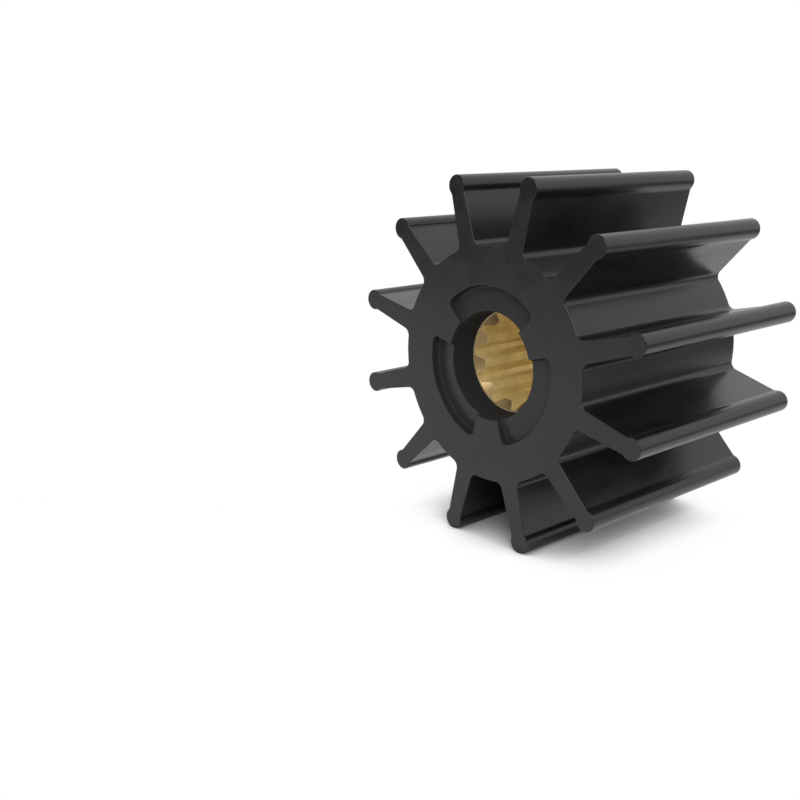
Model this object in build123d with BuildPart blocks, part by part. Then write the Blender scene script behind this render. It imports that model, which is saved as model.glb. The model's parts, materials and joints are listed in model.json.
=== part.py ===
"""A flexible-vane rubber pump impeller: a moulded vaned body with a splined brass insert bonded in its hub.

Millimetres, +Z up. The shaft axis runs along Y, and the origin lies on it, halfway through the width.
The front face looks towards -Y. Two neighbouring vanes point down, and the impeller rests on their tips.
Angles are counted from +X towards +Z, as seen from the front.
"""
import os
from math import hypot, radians, tan

from build123d import *

os.makedirs("parts", exist_ok=True)

# Moulded body: overall size and vanes
impeller_width = 63.5
tip_radius = 47.6
vane_count = 12
first_vane_angle = 15.0
bulb_radius = 2.7
vane_neck_thickness = 4.3
vane_root_thickness = 5.6
neck_blend_radius = 1.6
root_fillet_radius = 1.5

# Moulded body: hub, its hole and the pockets of the front face
hub_radius = 29.6
hub_hole_radius = 13.6
hub_hole_inner_radius = 13.1
pocket_count = 3
pocket_sweep = 90.0
first_pocket_angle = 90.0
pocket_outer_radius = 20.0
pocket_outer_depth = 2.4
pocket_inner_depth = 1.3
pocket_corner_radius = 1.5
pocket_foot_radius = 0.8

# Brass insert: a length of hexagon bar, bonded in the hub between two rubber lips
front_lip_depth = 8.3
back_lip_depth = 1.5
insert_across_flats = 32.0
insert_hex_angle = 0.0
bond_clearance = 0.0

# Spline in the insert
spline_tooth_count = 11
first_tooth_angle = 30.0
spline_major_radius = 12.7
spline_minor_radius = 10.9
tooth_tip_width = 2.2
tooth_root_width = 5.6
lead_in_radius = 13.0
lead_in_slope = 45.0

# How far a cut's profile runs on into space that is already open
cut_run_on = 1.0

# Places worked out from the sizes above
bulb_centre_radius = tip_radius - bulb_radius
pocket_inner_radius = hub_hole_radius - cut_run_on
front_face_y = -impeller_width / 2
back_face_y = impeller_width / 2
pocket_floor_slope = (pocket_outer_depth - pocket_inner_depth) / (pocket_outer_radius - hub_hole_radius)
pocket_floor_start_y = front_face_y + pocket_inner_depth - pocket_floor_slope * cut_run_on
front_plane = Plane.XZ.offset(-front_face_y)
back_plane = Plane.XZ.offset(-back_face_y)
insert_front_y = front_face_y + front_lip_depth
insert_back_y = back_face_y - back_lip_depth
insert_length = insert_back_y - insert_front_y
insert_back_plane = Plane.XZ.offset(-insert_back_y)
lead_in_length = (lead_in_radius - spline_minor_radius) / tan(radians(lead_in_slope))


def distance_from_axis(vertex):
    """How far a point of a profile lies from the shaft axis."""
    return hypot(vertex.X, vertex.Y)


def lies_at_pocket_foot(edge):
    """Whether an edge runs round a pocket's sloping floor, clear of the hub's hole."""
    middle = edge @ 0.5
    radius = hypot(middle.X, middle.Z)
    floor_y = pocket_floor_start_y + pocket_floor_slope * (radius - pocket_inner_radius)
    return abs(middle.Y - floor_y) < 0.01 and radius > hub_hole_radius + 0.5


# One vane, pointing along the sketch's x axis: a tapering blade with a round bulb at its tip
blade_start_radius = hub_radius - root_fillet_radius
blade_slope = (vane_root_thickness - vane_neck_thickness) / (bulb_centre_radius - hub_radius)
blade_start_thickness = vane_root_thickness + blade_slope * root_fillet_radius

with BuildSketch() as vane:
    with BuildLine():
        Polyline(
            (blade_start_radius, -blade_start_thickness / 2),
            (bulb_centre_radius, -vane_neck_thickness / 2),
            (bulb_centre_radius, vane_neck_thickness / 2),
            (blade_start_radius, blade_start_thickness / 2),
            close=True,
        )
    make_face()
    with Locations((bulb_centre_radius, 0)):
        Circle(bulb_radius)
    neck_corners = vane.vertices().filter_by(lambda v: abs(v.X - bulb_centre_radius) < bulb_radius)
    fillet(neck_corners, neck_blend_radius)

# One pocket of the front face, centred on the sketch's x axis and open to the hub's hole
with BuildSketch() as pocket:
    with BuildLine():
        rim_arc = CenterArc((0, 0), pocket_outer_radius, -pocket_sweep / 2, pocket_sweep)
        hole_arc = CenterArc((0, 0), pocket_inner_radius, -pocket_sweep / 2, pocket_sweep)
        Line(rim_arc @ 0, hole_arc @ 0)
        Line(rim_arc @ 1, hole_arc @ 1)
    make_face()
    rim_corners = [v for v in pocket.vertices() if distance_from_axis(v) > hub_hole_radius]
    fillet(rim_corners, pocket_corner_radius)

# The moulded rubber body
with BuildPart() as rubber_body:
    with BuildSketch(back_plane) as body_section:
        Circle(hub_radius)
        with PolarLocations(0, vane_count, start_angle=first_vane_angle):
            add(vane.sketch)
        root_corners = [v for v in body_section.vertices() if distance_from_axis(v) < hub_radius + 0.5]
        fillet(root_corners, root_fillet_radius)
    extrude(amount=impeller_width)
    with BuildSketch(front_plane):
        with PolarLocations(0, pocket_count, start_angle=first_pocket_angle):
            add(pocket.sketch)
    extrude(amount=-pocket_outer_depth, mode=Mode.SUBTRACT)
    with BuildSketch(Plane.XY):
        with BuildLine():
            Polyline(
                (pocket_inner_radius, pocket_floor_start_y),
                (pocket_outer_radius, front_face_y + pocket_outer_depth),
                (pocket_inner_radius, front_face_y + pocket_outer_depth),
                close=True,
            )
        make_face()
    revolve(axis=Axis.Y)
    with BuildSketch(Plane.XY):
        with BuildLine():
            Polyline(
                (0, front_face_y),
                (hub_hole_radius, front_face_y),
                (hub_hole_inner_radius, insert_front_y),
                (hub_hole_inner_radius, back_face_y),
                (0, back_face_y),
                close=True,
            )
        make_face()
    revolve(axis=Axis.Y, mode=Mode.SUBTRACT)
    pocket_feet = rubber_body.edges().filter_by(lies_at_pocket_foot)
    fillet(pocket_feet, pocket_foot_radius)
    with BuildSketch(insert_back_plane):
        RegularPolygon(
            insert_across_flats / 2 + bond_clearance,
            6,
            major_radius=False,
            rotation=insert_hex_angle,
        )
    extrude(amount=insert_length, mode=Mode.SUBTRACT)
rubber_body.part.label = "rubber_body"

# One tooth of the spline, pointing in along the sketch's x axis, run on past both of its circles
tooth_taper = (tooth_root_width - tooth_tip_width) / (spline_major_radius - spline_minor_radius)
tooth_inner_width = tooth_tip_width - tooth_taper * cut_run_on
tooth_outer_width = tooth_root_width + tooth_taper * cut_run_on

with BuildSketch() as spline_tooth:
    with BuildLine():
        Polyline(
            (spline_minor_radius - cut_run_on, -tooth_inner_width / 2),
            (spline_major_radius + cut_run_on, -tooth_outer_width / 2),
            (spline_major_radius + cut_run_on, tooth_outer_width / 2),
            (spline_minor_radius - cut_run_on, tooth_inner_width / 2),
            close=True,
        )
    make_face()

# The splined brass insert
with BuildPart() as splined_insert:
    with BuildSketch(insert_back_plane):
        RegularPolygon(insert_across_flats / 2, 6, major_radius=False, rotation=insert_hex_angle)
    extrude(amount=insert_length)
    with BuildSketch(insert_back_plane):
        Circle(spline_major_radius)
        with PolarLocations(0, spline_tooth_count, start_angle=first_tooth_angle):
            add(spline_tooth.sketch, mode=Mode.SUBTRACT)
        Circle(spline_minor_radius)
    extrude(amount=insert_length, mode=Mode.SUBTRACT)
    with BuildSketch(Plane.XY):
        with BuildLine():
            Polyline(
                (0, insert_front_y),
                (lead_in_radius, insert_front_y),
                (spline_minor_radius, insert_front_y + lead_in_length),
                (0, insert_front_y + lead_in_length),
                close=True,
            )
        make_face()
        with BuildLine():
            Polyline(
                (0, insert_back_y),
                (lead_in_radius, insert_back_y),
                (spline_minor_radius, insert_back_y - lead_in_length),
                (0, insert_back_y - lead_in_length),
                close=True,
            )
        make_face()
    revolve(axis=Axis.Y, mode=Mode.SUBTRACT)
splined_insert.part.label = "splined_insert"

export_step(rubber_body.part, "parts/rubber_body.step")
export_step(splined_insert.part, "parts/splined_insert.step")
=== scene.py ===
# Rubber pump impeller: a vaned rubber moulding with a splined brass insert
import json
import math

import bmesh
import bpy
from mathutils import Matrix, Vector

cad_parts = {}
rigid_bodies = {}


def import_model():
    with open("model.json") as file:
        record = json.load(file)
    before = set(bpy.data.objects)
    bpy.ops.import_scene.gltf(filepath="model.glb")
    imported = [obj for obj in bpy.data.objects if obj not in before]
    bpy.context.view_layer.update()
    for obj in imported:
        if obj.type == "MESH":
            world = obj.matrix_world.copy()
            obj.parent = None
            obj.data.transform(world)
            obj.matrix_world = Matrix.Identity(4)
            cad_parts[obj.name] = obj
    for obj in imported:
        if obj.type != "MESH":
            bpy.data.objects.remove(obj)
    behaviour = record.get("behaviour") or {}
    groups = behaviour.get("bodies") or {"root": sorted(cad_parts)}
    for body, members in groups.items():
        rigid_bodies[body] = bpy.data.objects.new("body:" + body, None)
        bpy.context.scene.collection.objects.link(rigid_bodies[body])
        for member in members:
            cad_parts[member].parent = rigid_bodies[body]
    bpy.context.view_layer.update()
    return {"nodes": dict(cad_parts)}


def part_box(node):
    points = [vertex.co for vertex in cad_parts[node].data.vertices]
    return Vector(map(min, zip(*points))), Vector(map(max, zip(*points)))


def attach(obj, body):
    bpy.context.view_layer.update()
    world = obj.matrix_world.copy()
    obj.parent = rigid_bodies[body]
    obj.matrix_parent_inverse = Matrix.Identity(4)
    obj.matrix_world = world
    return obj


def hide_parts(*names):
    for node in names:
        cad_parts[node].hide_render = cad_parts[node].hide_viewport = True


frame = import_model()
mm = 0.001
shaftAxis = (0, -1, 0)  # turns +X towards +Z
weld = 0.005 * mm  # points nearer than this become one
closeBy = 0.02  # mm, how near a point lies to the place where it is looked for
closeAngle = 0.1  # degrees, the same for its direction from the shaft
lap = 1.0  # mm that a cutter runs on past a face it cuts through
bodyLow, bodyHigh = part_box("rubber_body")
insertLow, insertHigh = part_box("splined_insert")
print("frame loaded:", ", ".join(sorted(frame["nodes"])))


# Shared helpers
def linearColor(hexColor):
    channels = [int(hexColor[i:i + 2], 16) / 255 for i in (1, 3, 5)]
    return [c / 12.92 if c <= 0.04045 else ((c + 0.055) / 1.055) ** 2.4 for c in channels] + [1.0]


def addNode(tree, kind, settings={}, links={}):
    node = tree.nodes.new(kind)
    for name, value in settings.items():
        if isinstance(name, int) or name in node.inputs:
            node.inputs[name].default_value = value
        else:
            setattr(node, name, value)
    for name, source in links.items():
        tree.links.new(source, node.inputs[name])
    return node


def newMaterial(name):
    material = bpy.data.materials.new(name)
    material.use_nodes = True
    material.node_tree.nodes.clear()
    return material, material.node_tree


def around(angle, radius, y=0.0):
    turn = math.radians(angle)
    return Vector((math.cos(turn) * radius, y, math.sin(turn) * radius)) * mm


def stepOut(bm, vert, place):
    # one edge from vert to place
    grown = bmesh.ops.extrude_vert_indiv(bm, verts=[vert])["verts"][0]
    grown.co = place
    return grown


def arcOut(bm, vert, centre, angle, steps):
    # an arc of edges from vert, turned about centre
    turned = bmesh.ops.spin(
        bm,
        geom=[vert],
        cent=centre,
        axis=shaftAxis,
        angle=math.radians(angle),
        steps=steps,
        use_merge=False,
    )
    return [item for item in turned["geom_last"] if isinstance(item, bmesh.types.BMVert)][0]


def repeatAround(bm, copies):
    bmesh.ops.spin(
        bm,
        geom=bm.verts[:] + bm.edges[:],
        cent=(0, 0, 0),
        axis=shaftAxis,
        angle=math.tau * (copies - 1) / copies,
        steps=copies - 1,
        use_duplicate=True,
    )
    bmesh.ops.remove_doubles(bm, verts=bm.verts[:], dist=weld)


def turnAll(bm, angle):
    turn = Matrix.Rotation(math.radians(angle), 3, shaftAxis)
    bmesh.ops.rotate(bm, cent=(0, 0, 0), matrix=turn, verts=bm.verts[:])


def angleOf(vert):
    # degrees from +X towards +Z
    return math.degrees(math.atan2(vert.co.z, vert.co.x))


def fromShaft(vert):
    # mm from the shaft axis
    return math.hypot(vert.co.x, vert.co.z) / mm


def blendCorners(bm, radius, angle, copies, blend, steps):
    # rounds each copy of a corner and of its mirror image, before the ring is turned
    pitch = 360 / copies
    corners = []
    for vert in bm.verts:
        offLine = abs((angleOf(vert) + pitch / 2) % pitch - pitch / 2)
        if abs(fromShaft(vert) - radius) < closeBy and abs(offLine - angle) < closeAngle:
            corners.append(vert)
    bmesh.ops.bevel(
        bm,
        geom=corners,
        offset=blend * mm,
        segments=steps,
        profile=0.5,
        affect="VERTICES",
        material=-1,
    )


def fillOutline(bm):
    bmesh.ops.contextual_create(bm, geom=bm.edges[:])


def raiseWalls(bm, yFrom, yTo):
    # the flat outline becomes a closed block between two places along the shaft
    bmesh.ops.translate(bm, vec=(0, yFrom, 0), verts=bm.verts[:])
    grown = bmesh.ops.extrude_face_region(bm, geom=bm.faces[:])["geom"]
    tops = [item for item in grown if isinstance(item, bmesh.types.BMVert)]
    bmesh.ops.translate(bm, vec=(0, yTo - yFrom, 0), verts=tops)
    bmesh.ops.recalc_face_normals(bm, faces=bm.faces[:])


def newPiece(name, bm):
    mesh = bpy.data.meshes.new(name)
    bm.to_mesh(mesh)
    bm.free()
    piece = bpy.data.objects.new(name, mesh)
    bpy.context.scene.collection.objects.link(piece)
    return piece


def cutAway(piece, cutters):
    for cutter in cutters:
        cut = piece.modifiers.new(cutter.name, "BOOLEAN")
        cut.operation = "DIFFERENCE"
        cut.solver = "EXACT"
        cut.object = cutter
    bpy.context.view_layer.update()
    evaluated = piece.evaluated_get(bpy.context.evaluated_depsgraph_get())
    piece.data = bpy.data.meshes.new_from_object(evaluated)
    piece.modifiers.clear()
    for cutter in cutters:
        bpy.data.objects.remove(cutter)


def sortParts(bm):
    # a cut leaves points, edges and faces in an order that changes from run to run, and rounding
    # depends on that order, so they are put in order along one direction
    along = Vector((0.31, 0.53, 0.79))
    bm.verts.sort(key=lambda vert: vert.co.dot(along))
    bm.edges.sort(key=lambda edge: (edge.verts[0].co + edge.verts[1].co).dot(along))
    bm.faces.sort(key=lambda face: face.calc_center_median().dot(along))


def softenEdges(piece, size, isVisible):
    # rounds the visible outward edges that turn by more than the limit, and keeps the other sharp
    # ones sharp
    limit = math.radians(size["edgeLimit"])
    bm = bmesh.new()
    bm.from_mesh(piece.data)
    sortParts(bm)
    bmesh.ops.remove_doubles(bm, verts=bm.verts[:], dist=closeBy * mm)
    bmesh.ops.dissolve_degenerate(bm, dist=closeBy / 2 * mm, edges=bm.edges[:])
    bmesh.ops.recalc_face_normals(bm, faces=bm.faces[:])
    outward = [e for e in bm.edges if len(e.link_faces) == 2 and e.calc_face_angle_signed() > limit]
    bmesh.ops.bevel(
        bm,
        geom=[e for e in outward if isVisible(e)],
        offset=size["edgeBreak"] * mm,
        segments=size["edgeSegments"],
        profile=0.5,
        affect="EDGES",
        material=-1,
        clamp_overlap=False,
    )
    for face in bm.faces:
        face.smooth = True
    for edge in bm.edges:
        edge.smooth = len(edge.link_faces) == 2 and edge.calc_face_angle() < limit
    bm.to_mesh(piece.data)
    bm.free()
    normals = piece.modifiers.new("flatFaces", "WEIGHTED_NORMAL")
    normals.keep_sharp = True


# Camera: the photograph's place and lens, found from the twelve vane tips
cameraSettings = {
    "lens": 45.83,
    "sensor": 36.0,
    "place": (169.82, -210.91, 55.06),  # mm
    "turn": (75.495, 0.247, 48.455),  # degrees about X, Y and Z
    "nearest": 0.01,  # m
}
cameraData = bpy.data.cameras.new("photoCamera")
cameraData.lens = cameraSettings["lens"]
cameraData.sensor_width = cameraSettings["sensor"]
cameraData.clip_start = cameraSettings["nearest"]
camera = bpy.data.objects.new("photoCamera", cameraData)
camera.location = Vector(cameraSettings["place"]) * mm
camera.rotation_euler = [math.radians(angle) for angle in cameraSettings["turn"]]
bpy.context.scene.collection.objects.link(camera)
bpy.context.scene.camera = camera
print("camera set")

# Studio: white sweep under a wide soft box of light, with one soft lamp above the camera. The sky and
# the sweep past the object's shade are white for the camera, off gloss and through glass. Near the
# object the sweep's colour holds painted shade. Grey cards that only gloss sees are painted dark
# reflections that keep the dark edges in the rubber's shine; they block no light.
studio = {
    "floorColor": "#fcfcfc",
    "floorRough": 0.5,
    "floorSize": 12.0,  # m
    "shadeReach": 0.022,  # m around the object where painted shade darkens the sweep's colour
    "shadeFade": (0.45, 0.85),  # openness where the shade starts to turn to white and where it is white
    "shadeDepth": 0.65,
    # painted dark reflection: the grey of the cards that only gloss sees
    "cardColor": "#909090",
    "openPlace": (-0.165, 0.125),  # m, the middle of the opening in the card that lies on the sweep
    "openSize": (0.57, 0.95),
    "cardSpread": 8.0,  # how many times larger than its opening that card is
    "standDistance": 0.6,  # m from the object to the cards that stand in front of it
    "standHeight": 0.28,
    "standing": {"leftCard": (185.0, 75.0), "rightCard": (285.0, 60.0)},  # start and sweep, degrees
    "standSteps": 24,
    "wallStrength": 0.15,
    "boxStrength": 1.1,
    "boxReach": (0.05, 0.65),  # height above the horizon where the walls end and where the soft box is full
    "lampFrom": (0.6, -0.62, 0.5),
    "lampAngle": 36.0,  # degrees that the lamp spans
    "lampStrength": 1.5,
}


def showsBackground(tree):
    # 1 for rays from the camera, off gloss and through glass
    path = addNode(tree, "ShaderNodeLightPath")
    direct = addNode(
        tree,
        "ShaderNodeMath",
        {"operation": "MAXIMUM"},
        {0: path.outputs["Is Camera Ray"], 1: path.outputs["Is Glossy Ray"]},
    )
    seen = addNode(
        tree,
        "ShaderNodeMath",
        {"operation": "MAXIMUM"},
        {0: direct.outputs["Value"], 1: path.outputs["Is Transmission Ray"]},
    )
    return seen.outputs["Value"]


floorMaterial, tree = newMaterial("paintedSweep")
# painted shade: ambient occlusion darkens the sweep's colour near the object, on top of the real shadow
# that the lamps and sky cast
openness = addNode(tree, "ShaderNodeAmbientOcclusion", {"Distance": studio["shadeReach"]})
paintedContactShade = addNode(
    tree,
    "ShaderNodeMath",
    {"operation": "POWER", 1: studio["shadeDepth"]},
    {0: openness.outputs["AO"]},
)
floorColor = addNode(
    tree,
    "ShaderNodeVectorMath",
    {"operation": "SCALE", 0: linearColor(studio["floorColor"])[:3]},
    {"Scale": paintedContactShade.outputs["Value"]},
)
floorPaint = addNode(
    tree,
    "ShaderNodeBsdfDiffuse",
    {"Roughness": studio["floorRough"]},
    {"Color": floorColor.outputs["Vector"]},
)
pastShade = addNode(
    tree,
    "ShaderNodeMapRange",
    {
        "interpolation_type": "SMOOTHSTEP",
        "From Min": studio["shadeFade"][0],
        "From Max": studio["shadeFade"][1],
    },
    {"Value": openness.outputs["AO"]},
)
whiteShare = addNode(
    tree,
    "ShaderNodeMath",
    {"operation": "MULTIPLY"},
    {0: pastShade.outputs["Result"], 1: showsBackground(tree)},
)
floorWhite = addNode(tree, "ShaderNodeEmission", {"Color": (1, 1, 1, 1), "Strength": 1.0})
floorSurface = addNode(
    tree,
    "ShaderNodeMixShader",
    {},
    {"Fac": whiteShare.outputs["Value"], 1: floorPaint.outputs[0], 2: floorWhite.outputs[0]},
)
addNode(tree, "ShaderNodeOutputMaterial", {}, {"Surface": floorSurface.outputs[0]})
bm = bmesh.new()
bmesh.ops.create_grid(bm, x_segments=1, y_segments=1, size=studio["floorSize"] / 2)
bmesh.ops.translate(bm, vec=(0, 0, bodyLow.z), verts=bm.verts[:])
floor = newPiece("floor", bm)
floor.data.materials.append(floorMaterial)

paintedReflectionCardMaterial, tree = newMaterial("paintedReflectionGreyCard")
cardPaint = addNode(tree, "ShaderNodeBsdfDiffuse", {"Color": linearColor(studio["cardColor"])})
addNode(tree, "ShaderNodeOutputMaterial", {}, {"Surface": cardPaint.outputs[0]})
bm = bmesh.new()
bmesh.ops.create_grid(bm, x_segments=1, y_segments=1, size=1 / 2)
bmesh.ops.scale(bm, vec=(*studio["openSize"], 1), verts=bm.verts[:])
bmesh.ops.delete(bm, geom=bm.faces[:], context="FACES_ONLY")
outer = bmesh.ops.extrude_edge_only(bm, edges=bm.edges[:])["geom"]
outer = [item for item in outer if isinstance(item, bmesh.types.BMVert)]
bmesh.ops.scale(bm, vec=(studio["cardSpread"], studio["cardSpread"], 1), verts=outer)
bmesh.ops.translate(bm, vec=(*studio["openPlace"], bodyLow.z + mm), verts=bm.verts[:])
cards = [newPiece("lyingCard", bm)]
for name, (startAngle, sweep) in studio["standing"].items():
    turn = math.radians(startAngle)
    foot = Vector((math.cos(turn), math.sin(turn), 0)) * studio["standDistance"]
    foot.z = bodyLow.z
    bm = bmesh.new()
    lowest = bmesh.ops.create_vert(bm, co=foot)["vert"][0]
    stepOut(bm, lowest, foot + Vector((0, 0, studio["standHeight"])))
    bmesh.ops.spin(
        bm,
        geom=bm.edges[:],
        cent=(0, 0, 0),
        axis=(0, 0, 1),
        angle=math.radians(sweep),
        steps=studio["standSteps"],
    )
    cards.append(newPiece(name, bm))
# painted reflection: each card is hidden from the camera, from diffuse light and from shadows, so it only
# darkens what the rubber and brass reflect
for card in cards:
    card.data.materials.append(paintedReflectionCardMaterial)
    card.visible_camera = False
    card.visible_diffuse = False
    card.visible_shadow = False

world = bpy.data.worlds.new("studioSky")
bpy.context.scene.world = world
world.use_nodes = True
tree = world.node_tree
tree.nodes.clear()
direction = addNode(tree, "ShaderNodeTexCoord")
heights = addNode(tree, "ShaderNodeSeparateXYZ", {}, {"Vector": direction.outputs["Generated"]})
softBox = addNode(
    tree,
    "ShaderNodeMapRange",
    {
        "From Min": studio["boxReach"][0],
        "From Max": studio["boxReach"][1],
        "To Min": studio["wallStrength"],
        "To Max": studio["boxStrength"],
    },
    {"Value": heights.outputs["Z"]},
)
skyLight = addNode(
    tree,
    "ShaderNodeBackground",
    {"Color": (1, 1, 1, 1)},
    {"Strength": softBox.outputs["Result"]},
)
skySeen = addNode(tree, "ShaderNodeBackground", {"Color": (1, 1, 1, 1), "Strength": 1.0})
skyMix = addNode(
    tree,
    "ShaderNodeMixShader",
    {},
    {"Fac": showsBackground(tree), 1: skyLight.outputs[0], 2: skySeen.outputs[0]},
)
addNode(tree, "ShaderNodeOutputWorld", {}, {"Surface": skyMix.outputs[0]})

lampData = bpy.data.lights.new("softLamp", "SUN")
lampData.energy = studio["lampStrength"]
lampData.angle = math.radians(studio["lampAngle"])
lamp = bpy.data.objects.new("softLamp", lampData)
lamp.rotation_euler = Vector(studio["lampFrom"]).to_track_quat("Z", "Y").to_euler()
bpy.context.scene.collection.objects.link(lamp)
bpy.context.scene.view_settings.view_transform = "Standard"
print("studio lit")

# Nitrile rubber, compression moulded: near-black, satin where the polished cavity left it, with a faint
# orange peel and a thin dull film, and matt in the hole and the pockets
nitrile = {
    "color": "#101010",
    "bloomColor": "#1b1b1b",
    "roughLow": 0.22,
    "roughHigh": 0.34,
    "ior": 1.52,
    "shine": 0.42,  # specular level, below the usual 0.5 for the dull film that rubber grows
    "peelSize": 1.5,  # mm between the bumps of the orange peel
    "peelHeight": 0.005,
    "waveSize": 14.0,  # mm, the slow unevenness of a moulded wall
    "waveHeight": 0.035,
    "bloomSize": 6.0,  # mm across a patch of the dull film
    "bloomStretch": 0.25,  # how much slower the film changes along the shaft, the way the rubber flowed
    "bloomRange": (0.2, 0.8),  # noise where the film starts and where it is full
    "bloomDetail": 2.0,
    "bumpDetail": 1.0,  # of the peel and the slow waves, which are smooth
    "recessColor": "#262626",  # on the walls of the hole and the pockets, from unpolished cores
    "floorColor": "#343434",
    "floorShare": 0.6,  # of that finish on the pockets' floors, which are duller than the faces
    "floorEnd": 4.0,  # mm below the front face, deeper than any pocket
    "floorFade": 0.1,
    "recessRough": 0.7,
    "recessShine": 0.08,
    "recessRadius": 20.6,  # mm from the shaft axis
    "radiusFade": 0.1,
    "recessDepth": 0.06,  # mm below the front face
    "depthFade": 0.05,
    "floorFacing": (0.978, 0.85),  # share of the normal along the shaft on a floor and on a wall
}
nitrileMaterial, tree = newMaterial("mouldedNitrileRubber")
coords = addNode(tree, "ShaderNodeTexCoord")
flowed = addNode(
    tree,
    "ShaderNodeMapping",
    {"Scale": (1.0, nitrile["bloomStretch"], 1.0)},
    {"Vector": coords.outputs["Object"]},
)
bloom = addNode(
    tree,
    "ShaderNodeTexNoise",
    {"Scale": 1 / (nitrile["bloomSize"] * mm), "Detail": nitrile["bloomDetail"]},
    {"Vector": flowed.outputs["Vector"]},
)
bloomColor = addNode(tree, "ShaderNodeValToRGB", {}, {"Fac": bloom.outputs["Fac"]})
bloomColor.color_ramp.interpolation = "EASE"
bloomColor.color_ramp.elements[0].position = nitrile["bloomRange"][0]
bloomColor.color_ramp.elements[0].color = linearColor(nitrile["color"])
bloomColor.color_ramp.elements[1].position = nitrile["bloomRange"][1]
bloomColor.color_ramp.elements[1].color = linearColor(nitrile["bloomColor"])
roughness = addNode(
    tree,
    "ShaderNodeMapRange",
    {
        "interpolation_type": "SMOOTHSTEP",
        "From Min": nitrile["bloomRange"][0],
        "From Max": nitrile["bloomRange"][1],
        "To Min": nitrile["roughLow"],
        "To Max": nitrile["roughHigh"],
    },
    {"Value": bloom.outputs["Fac"]},
)
wave = addNode(
    tree,
    "ShaderNodeTexNoise",
    {"Scale": 1 / (nitrile["waveSize"] * mm), "Detail": nitrile["bumpDetail"]},
    {"Vector": coords.outputs["Object"]},
)
peel = addNode(
    tree,
    "ShaderNodeTexNoise",
    {"Scale": 1 / (nitrile["peelSize"] * mm), "Detail": nitrile["bumpDetail"]},
    {"Vector": coords.outputs["Object"]},
)
waveBump = addNode(
    tree,
    "ShaderNodeBump",
    {"Strength": 1.0, "Distance": nitrile["waveHeight"] * mm},
    {"Height": wave.outputs["Fac"]},
)
peelBump = addNode(
    tree,
    "ShaderNodeBump",
    {"Strength": 1.0, "Distance": nitrile["peelHeight"] * mm},
    {"Height": peel.outputs["Fac"], "Normal": waveBump.outputs["Normal"]},
)
offAxis = addNode(
    tree,
    "ShaderNodeVectorMath",
    {"operation": "MULTIPLY", 1: (1.0, 0.0, 1.0)},
    {0: coords.outputs["Object"]},
)
reach = addNode(tree, "ShaderNodeVectorMath", {"operation": "LENGTH"}, {0: offAxis.outputs["Vector"]})
places = addNode(tree, "ShaderNodeSeparateXYZ", {}, {"Vector": coords.outputs["Object"]})
withinReach = addNode(
    tree,
    "ShaderNodeMapRange",
    {
        "From Min": (nitrile["recessRadius"] + nitrile["radiusFade"]) * mm,
        "From Max": (nitrile["recessRadius"] - nitrile["radiusFade"]) * mm,
    },
    {"Value": reach.outputs["Value"]},
)
belowFace = addNode(
    tree,
    "ShaderNodeMapRange",
    {
        "From Min": bodyLow.y + (nitrile["recessDepth"] - nitrile["depthFade"]) * mm,
        "From Max": bodyLow.y + (nitrile["recessDepth"] + nitrile["depthFade"]) * mm,
    },
    {"Value": places.outputs["Y"]},
)
facing = addNode(tree, "ShaderNodeSeparateXYZ", {}, {"Vector": coords.outputs["Normal"]})
alongShaft = addNode(tree, "ShaderNodeMath", {"operation": "ABSOLUTE"}, {0: facing.outputs["Y"]})
wall = addNode(
    tree,
    "ShaderNodeMapRange",
    {"From Min": nitrile["floorFacing"][0], "From Max": nitrile["floorFacing"][1]},
    {"Value": alongShaft.outputs["Value"]},
)
pocketFloor = addNode(
    tree,
    "ShaderNodeMapRange",
    {
        "From Min": bodyLow.y + nitrile["floorEnd"] * mm,
        "From Max": bodyLow.y + (nitrile["floorEnd"] - nitrile["floorFade"]) * mm,
        "To Max": nitrile["floorShare"],
    },
    {"Value": places.outputs["Y"]},
)
wallOrFloor = addNode(
    tree,
    "ShaderNodeMath",
    {"operation": "MAXIMUM"},
    {0: wall.outputs["Result"], 1: pocketFloor.outputs["Result"]},
)
inRecess = addNode(
    tree,
    "ShaderNodeMath",
    {"operation": "MULTIPLY"},
    {0: withinReach.outputs["Result"], 1: belowFace.outputs["Result"]},
)
unpolishedShare = addNode(
    tree,
    "ShaderNodeMath",
    {"operation": "MULTIPLY"},
    {0: inRecess.outputs["Value"], 1: wallOrFloor.outputs["Value"]},
)
unpolishedColor = addNode(
    tree,
    "ShaderNodeMix",
    {
        "data_type": "RGBA",
        6: linearColor(nitrile["floorColor"]),
        7: linearColor(nitrile["recessColor"]),
    },
    {0: wall.outputs["Result"]},
)
polished = addNode(
    tree,
    "ShaderNodeBsdfPrincipled",
    {"IOR": nitrile["ior"], "Specular IOR Level": nitrile["shine"]},
    {
        "Base Color": bloomColor.outputs["Color"],
        "Roughness": roughness.outputs["Result"],
        "Normal": peelBump.outputs["Normal"],
    },
)
unpolished = addNode(
    tree,
    "ShaderNodeBsdfPrincipled",
    {
        "Roughness": nitrile["recessRough"],
        "IOR": nitrile["ior"],
        "Specular IOR Level": nitrile["recessShine"],
    },
    {"Base Color": unpolishedColor.outputs[2], "Normal": peelBump.outputs["Normal"]},
)
nitrileSurface = addNode(
    tree,
    "ShaderNodeMixShader",
    {},
    {"Fac": unpolishedShare.outputs["Value"], 1: polished.outputs["BSDF"], 2: unpolished.outputs["BSDF"]},
)
addNode(tree, "ShaderNodeOutputMaterial", {}, {"Surface": nitrileSurface.outputs[0]})
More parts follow.
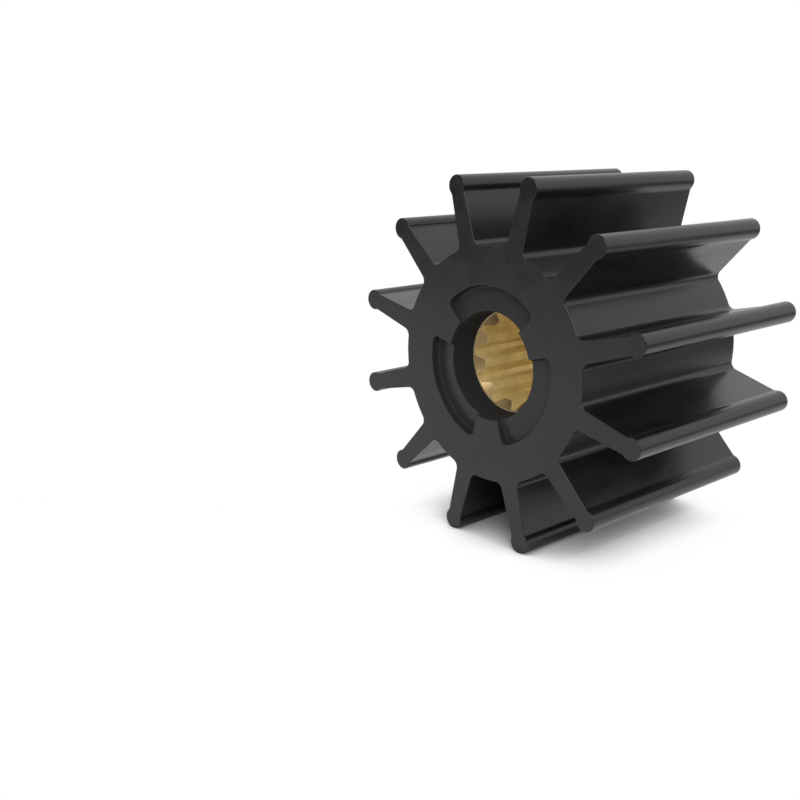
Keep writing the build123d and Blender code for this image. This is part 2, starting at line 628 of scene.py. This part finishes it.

# Cartridge brass, turned and broached: warm yellow with fine tool lines along the teeth, and painted shade
# on the turned lead-ins
brass = {
    "color": "#fdeebb",
    "tarnish": "#e6d096",
    "metal": 0.7,  # below 1 for the thin film of tarnish
    "turnedTintAndShade": "#8f7851",  # darker and browner on the lead-ins: painted shade, with a turned tint
    "turnedRough": 0.3,
    "roughLow": 0.34,
    "roughHigh": 0.46,
    "lineSize": 0.25,  # mm between broach lines, drawn coarser than real ones so that they show
    "lineHeight": 0.01,
    "lineDetail": 2.0,
    "lineStretch": 0.03,  # how much slower the lines change along the teeth
    "tarnishSize": 5.0,  # mm across a cloud of tarnish
    "tarnishDetail": 6.0,
    "tarnishGrain": 0.65,
    "tarnishRange": (0.35, 0.65),  # noise where the metal is most and least tarnished
    "roughRange": (0.3, 0.7),  # the same for its roughness
    "leadInFacing": 0.7,  # share of the normal along the shaft on a lead-in, which slopes at 45 degrees
    "leadInRange": (0.35, 0.55),  # where the turned finish and the painted shade start and where they are full
}
brassMaterial, tree = newMaterial("broachedBrass")
coords = addNode(tree, "ShaderNodeTexCoord")
tarnish = addNode(
    tree,
    "ShaderNodeTexNoise",
    {
        "Scale": 1 / (brass["tarnishSize"] * mm),
        "Detail": brass["tarnishDetail"],
        "Roughness": brass["tarnishGrain"],
    },
    {"Vector": coords.outputs["Object"]},
)
brassColor = addNode(tree, "ShaderNodeValToRGB", {}, {"Fac": tarnish.outputs["Fac"]})
brassColor.color_ramp.elements[0].position = brass["tarnishRange"][0]
brassColor.color_ramp.elements[0].color = linearColor(brass["tarnish"])
brassColor.color_ramp.elements[1].position = brass["tarnishRange"][1]
brassColor.color_ramp.elements[1].color = linearColor(brass["color"])
brassRoughness = addNode(
    tree,
    "ShaderNodeMapRange",
    {
        "From Min": brass["roughRange"][0],
        "From Max": brass["roughRange"][1],
        "To Min": brass["roughHigh"],
        "To Max": brass["roughLow"],
    },
    {"Value": tarnish.outputs["Fac"]},
)
facing = addNode(tree, "ShaderNodeSeparateXYZ", {}, {"Vector": coords.outputs["Normal"]})
conical = addNode(
    tree,
    "ShaderNodeMath",
    {"operation": "PINGPONG", 1: brass["leadInFacing"]},
    {0: facing.outputs["Y"]},
)
turned = addNode(
    tree,
    "ShaderNodeMapRange",
    {"From Min": brass["leadInRange"][0], "From Max": brass["leadInRange"][1]},
    {"Value": conical.outputs["Value"]},
)
finishRoughness = addNode(
    tree,
    "ShaderNodeMix",
    {"data_type": "FLOAT", 3: brass["turnedRough"]},
    {0: turned.outputs["Result"], 2: brassRoughness.outputs["Result"]},
)
# painted shade: the lead-ins, found by their facing, get a darker colour that stands in for the shade they
# lie in; their lower roughness is the turned finish
finishAndLeadInShade = addNode(
    tree,
    "ShaderNodeMix",
    {"data_type": "RGBA", 7: linearColor(brass["turnedTintAndShade"])},
    {0: turned.outputs["Result"], 6: brassColor.outputs["Color"]},
)
drawnOut = addNode(
    tree,
    "ShaderNodeMapping",
    {"Scale": (1.0, brass["lineStretch"], 1.0)},
    {"Vector": coords.outputs["Object"]},
)
lines = addNode(
    tree,
    "ShaderNodeTexNoise",
    {"Scale": 1 / (brass["lineSize"] * mm), "Detail": brass["lineDetail"]},
    {"Vector": drawnOut.outputs["Vector"]},
)
lineBump = addNode(
    tree,
    "ShaderNodeBump",
    {"Strength": 1.0, "Distance": brass["lineHeight"] * mm},
    {"Height": lines.outputs["Fac"]},
)
brassSurface = addNode(
    tree,
    "ShaderNodeBsdfPrincipled",
    {"Metallic": brass["metal"]},
    {
        "Base Color": finishAndLeadInShade.outputs[2],
        "Roughness": finishRoughness.outputs[0],
        "Normal": lineBump.outputs["Normal"],
    },
)
addNode(tree, "ShaderNodeOutputMaterial", {}, {"Surface": brassSurface.outputs["BSDF"]})
print("materials made")

# Moulded body: hub and vanes in one piece, in millimetres and degrees
mouldedBody = {
    "vanes": 12,
    "firstVane": 15.0,  # degrees from +X towards +Z
    "tipRadius": 47.6,
    "bulbRadius": 2.7,
    "neckThickness": 4.3,
    "rootThickness": 5.6,
    "neckBlend": 0.55,  # mm cut back along each side of the corner
    "rootBlend": 1.6,
    "hubRadius": 29.6,
    "hubSteps": 2,
    "bulbSteps": 26,
    "blendSteps": 6,
    "holeRadius": 13.6,  # at the front face
    "holeInner": 13.1,  # at the insert, and from there to the back
    "holeSteps": 120,
    "pockets": 3,
    "firstPocket": 90.0,
    "pocketSweep": 90.0,
    "pocketRadius": 20.0,
    "pocketInside": 11.5,  # where a pocket's cutter ends, in the open hole
    "pocketOuterDepth": 2.4,
    "pocketInnerDepth": 1.3,
    "pocketCorner": 1.5,
    "cornerStep": 1.8,  # mm along the outer wall that a pocket's end takes, with its corner
    "pocketFoot": 0.8,
    "footSteps": 4,
    "pocketSteps": 48,
    "landCorner": 1.0,
    "landLap": 0.35,  # how far a land's rounded corner runs into the hole
    "hexAcrossFlats": 32.0,
    "edgeBreak": 0.22,
    "edgeSegments": 3,
    "edgeLimit": 30.0,
}


def bodyBlock(name, size):
    bulbCentre = size["tipRadius"] - size["bulbRadius"]
    halfRoot, halfNeck = size["rootThickness"] / 2, size["neckThickness"] / 2
    rootAngle = math.degrees(math.asin(halfRoot / size["hubRadius"]))
    neckAngle = math.degrees(math.asin(halfNeck / size["bulbRadius"]))
    halfPitch = 180 / size["vanes"]
    neckReach = bulbCentre - math.sqrt(size["bulbRadius"] ** 2 - halfNeck**2)
    bm = bmesh.new()
    start = bmesh.ops.create_vert(bm, co=around(-halfPitch, size["hubRadius"]))["vert"][0]
    lowRoot = arcOut(bm, start, (0, 0, 0), halfPitch - rootAngle, size["hubSteps"])
    bulb = Vector((bulbCentre, 0, 0)) * mm
    lowNeck = stepOut(bm, lowRoot, bulb + around(180 + neckAngle, size["bulbRadius"]))
    highNeck = arcOut(bm, lowNeck, bulb, 360 - 2 * neckAngle, size["bulbSteps"])
    highRoot = stepOut(bm, highNeck, around(rootAngle, size["hubRadius"]))
    arcOut(bm, highRoot, (0, 0, 0), halfPitch - rootAngle, size["hubSteps"])
    repeatAround(bm, size["vanes"])
    fillOutline(bm)
    for radius, angle, blend in (
        (size["hubRadius"], rootAngle, size["rootBlend"]),
        (math.hypot(neckReach, halfNeck), math.degrees(math.atan(halfNeck / neckReach)), size["neckBlend"]),
    ):
        blendCorners(bm, radius, angle, size["vanes"], blend, size["blendSteps"])
    turnAll(bm, size["firstVane"])
    raiseWalls(bm, bodyLow.y, bodyHigh.y)
    return newPiece(name, bm)


def hubHole(size):
    # one profile spun about the shaft: a taper from the front face to the insert, then straight to the back
    slope = (size["holeRadius"] - size["holeInner"]) / ((insertLow.y - bodyLow.y) / mm)
    bm = bmesh.new()
    top = bmesh.ops.create_vert(bm, co=around(0, 0, bodyLow.y / mm - lap))["vert"][0]
    mouth = stepOut(bm, top, around(0, size["holeRadius"] + slope * lap, bodyLow.y / mm - lap))
    waist = stepOut(bm, mouth, around(0, size["holeInner"], insertLow.y / mm))
    foot = stepOut(bm, waist, around(0, size["holeInner"], bodyHigh.y / mm + lap))
    stepOut(bm, foot, around(0, 0, bodyHigh.y / mm + lap))
    bmesh.ops.spin(
        bm,
        geom=bm.edges[:],
        cent=(0, 0, 0),
        axis=shaftAxis,
        angle=math.tau,
        steps=size["holeSteps"],
        use_merge=True,
    )
    bmesh.ops.remove_doubles(bm, verts=bm.verts[:], dist=weld)
    bmesh.ops.recalc_face_normals(bm, faces=bm.faces[:])
    return newPiece("hubHole", bm)


def facePocket(angle, size):
    # outline from inside the hole, round one land's corner, along the pocket and back round the other's
    halfSweep, inside = size["pocketSweep"] / 2, size["pocketInside"]
    corner, lip = size["landCorner"], size["holeRadius"] - size["landLap"]
    swing = math.degrees(math.asin(corner / (lip + corner)))
    straight = math.sqrt((lip + corner) ** 2 - corner**2)
    endStep = math.degrees(size["cornerStep"] / size["pocketRadius"])
    middleSweep = size["pocketSweep"] - 2 * endStep
    bm = bmesh.new()
    first = bmesh.ops.create_vert(bm, co=around(-halfSweep - swing, inside))["vert"][0]
    lowLip = stepOut(bm, first, around(-halfSweep - swing, lip))
    lowCentre, highCentre = (around(side * (halfSweep + swing), lip + corner) for side in (-1, 1))
    lowNeck = arcOut(bm, lowLip, lowCentre, -(90 - swing), size["blendSteps"])
    lowOuter = stepOut(bm, lowNeck, around(-halfSweep, size["pocketRadius"]))
    lowArc = arcOut(bm, lowOuter, (0, 0, 0), endStep, 1)
    highArc = arcOut(bm, lowArc, (0, 0, 0), middleSweep, size["pocketSteps"])
    highOuter = arcOut(bm, highArc, (0, 0, 0), endStep, 1)
    highNeck = stepOut(bm, highOuter, around(halfSweep, straight))
    highLip = arcOut(bm, highNeck, highCentre, -(90 - swing), size["blendSteps"])
    last = stepOut(bm, highLip, around(halfSweep + swing, inside))
    highTurn = arcOut(bm, last, (0, 0, 0), -(swing + endStep), 1)
    lowTurn = arcOut(bm, highTurn, (0, 0, 0), -middleSweep, size["pocketSteps"])
    arcOut(bm, lowTurn, (0, 0, 0), -(swing + endStep), 1)
    outerCorners = [lowOuter.co.copy(), highOuter.co.copy()]
    bmesh.ops.remove_doubles(bm, verts=bm.verts[:], dist=weld)
    fillOutline(bm)
    bmesh.ops.bevel(
        bm,
        geom=[v for v in bm.verts if any((v.co - place).length < closeBy * mm for place in outerCorners)],
        offset=size["pocketCorner"] * mm,
        segments=size["blendSteps"],
        profile=0.5,
        affect="VERTICES",
        material=-1,
        clamp_overlap=False,
    )
    raiseWalls(bm, bodyLow.y - lap * mm, bodyLow.y)
    slopeFloor(bm, middleSweep / 2, size)
    turnAll(bm, angle)
    return newPiece("facePocket", bm)


def slopeFloor(bm, halfMiddle, size):
    # the floor grows deeper towards the outer wall, is cut in strips between the two arcs, and
    # gets a round foot
    fall = size["pocketOuterDepth"] - size["pocketInnerDepth"]
    slope = fall / (size["pocketRadius"] - size["holeRadius"])
    floor = {v for v in bm.verts if v.co.y > bodyLow.y - lap / 2 * mm}
    for vert in floor:
        vert.co.y += (size["pocketInnerDepth"] + slope * (fromShaft(vert) - size["holeRadius"])) * mm
    rings = []
    for radius in (size["pocketRadius"], size["pocketInside"]):
        ring = [v for v in floor if abs(fromShaft(v) - radius) < closeBy]
        ring = [v for v in ring if abs(angleOf(v)) < halfMiddle + closeAngle]
        rings.append(sorted(ring, key=angleOf))
    for outer, inner in zip(*rings):
        bmesh.ops.connect_verts(bm, verts=[outer, inner])
    rim = [e for e in bm.edges if floor.issuperset(e.verts)]
    rim = [e for e in rim if not all(floor.issuperset(f.verts) for f in e.link_faces)]
    bmesh.ops.bevel(
        bm,
        geom=[e for e in rim if max(fromShaft(v) for v in e.verts) > size["pocketInside"] + closeBy],
        offset=size["pocketFoot"] * mm,
        segments=size["footSteps"],
        profile=0.5,
        affect="EDGES",
        material=-1,
        clamp_overlap=False,
    )
    bmesh.ops.recalc_face_normals(bm, faces=bm.faces[:])


def hexBlock(name, size, yFrom, yTo):
    bm = bmesh.new()
    reach = size["hexAcrossFlats"] / 2 / math.cos(math.radians(30))
    corner = bmesh.ops.create_vert(bm, co=around(0, reach))["vert"][0]
    arcOut(bm, corner, (0, 0, 0), 360, 6)
    bmesh.ops.remove_doubles(bm, verts=bm.verts[:], dist=weld)
    fillOutline(bm)
    raiseWalls(bm, yFrom, yTo)
    return newPiece(name, bm)


def onEndFaces(edge):
    # the outlines of both end faces, and everything in the pockets
    middle = (edge.verts[0].co.y + edge.verts[1].co.y) / 2
    lowest = mouldedBody["pocketOuterDepth"] + closeBy
    return middle < bodyLow.y + lowest * mm or middle > bodyHigh.y - closeBy * mm


body = bodyBlock("mouldedBody", mouldedBody)
cutters = [hubHole(mouldedBody)]
for k in range(mouldedBody["pockets"]):
    pocketAngle = mouldedBody["firstPocket"] + 360 / mouldedBody["pockets"] * k
    cutters.append(facePocket(pocketAngle, mouldedBody))
cutters.append(hexBlock("insertSeat", mouldedBody, insertLow.y, insertHigh.y))
cutAway(body, cutters)
softenEdges(body, mouldedBody, onEndFaces)
body.data.materials.clear()
body.data.materials.append(nitrileMaterial)
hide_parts("rubber_body")
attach(body, "root")
print("moulded body:", len(body.data.polygons), "faces")

# Splined insert: hexagon bar, broached with eleven teeth and countersunk at both ends, in
# millimetres and degrees
splinedInsert = {
    "hexAcrossFlats": 32.0,
    "teeth": 11,
    "firstTooth": 30.0,
    "majorRadius": 12.7,
    "minorRadius": 10.9,
    "toothTip": 2.2,
    "toothRoot": 5.6,
    "tipBlend": 0.35,  # mm cut back along each side of the corner
    "rootBlend": 0.25,
    "blendSteps": 4,
    "leadRadius": 12.85,
    "leadSteps": 96,
    "edgeBreak": 0.1,
    "edgeSegments": 2,
    "edgeLimit": 30.0,
}


def splineBore(size):
    tipAngle = math.degrees(math.asin(size["toothTip"] / 2 / size["minorRadius"]))
    rootAngle = math.degrees(math.asin(size["toothRoot"] / 2 / size["majorRadius"]))
    halfPitch = 180 / size["teeth"]
    bm = bmesh.new()
    start = bmesh.ops.create_vert(bm, co=around(-halfPitch, size["majorRadius"]))["vert"][0]
    lowRoot = arcOut(bm, start, (0, 0, 0), halfPitch - rootAngle, 1)
    lowTip = stepOut(bm, lowRoot, around(-tipAngle, size["minorRadius"]))
    highTip = stepOut(bm, lowTip, around(tipAngle, size["minorRadius"]))
    highRoot = stepOut(bm, highTip, around(rootAngle, size["majorRadius"]))
    arcOut(bm, highRoot, (0, 0, 0), halfPitch - rootAngle, 1)
    repeatAround(bm, size["teeth"])
    fillOutline(bm)
    for radius, angle, blend in (
        (size["majorRadius"], rootAngle, size["rootBlend"]),
        (size["minorRadius"], tipAngle, size["tipBlend"]),
    ):
        blendCorners(bm, radius, angle, size["teeth"], blend, size["blendSteps"])
    turnAll(bm, size["firstTooth"])
    raiseWalls(bm, insertLow.y - lap * mm, insertHigh.y + lap * mm)
    return newPiece("splineBore", bm)


def leadIn(name, y, inward, size):
    # a cone whose rim lies on the insert's end face
    depth = size["leadRadius"] - size["minorRadius"]
    bm = bmesh.new()
    bmesh.ops.create_cone(
        bm,
        cap_ends=True,
        segments=size["leadSteps"],
        radius1=(size["leadRadius"] + lap) * mm,
        radius2=size["minorRadius"] * mm,
        depth=(depth + lap) * mm,
    )
    stand = Matrix.Rotation(math.radians(-90 * inward), 3, "X")
    bmesh.ops.rotate(bm, cent=(0, 0, 0), matrix=stand, verts=bm.verts[:])
    bmesh.ops.translate(bm, vec=(0, y + inward * (depth - lap) / 2 * mm, 0), verts=bm.verts[:])
    bmesh.ops.recalc_face_normals(bm, faces=bm.faces[:])
    return newPiece(name, bm)


def inBore(edge):
    # the teeth and the rims of the lead-ins
    reach = splinedInsert["leadRadius"] + splinedInsert["edgeBreak"]
    return all(fromShaft(v) < reach for v in edge.verts)


insert = hexBlock("splinedInsert", splinedInsert, insertLow.y, insertHigh.y)
cutAway(
    insert,
    [
        splineBore(splinedInsert),
        leadIn("frontLeadIn", insertLow.y, 1, splinedInsert),
        leadIn("backLeadIn", insertHigh.y, -1, splinedInsert),
    ],
)
softenEdges(insert, splinedInsert, inBore)
insert.data.materials.clear()
insert.data.materials.append(brassMaterial)
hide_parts("splined_insert")
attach(insert, "root")
print("splined insert:", len(insert.data.polygons), "faces")

print("finished")
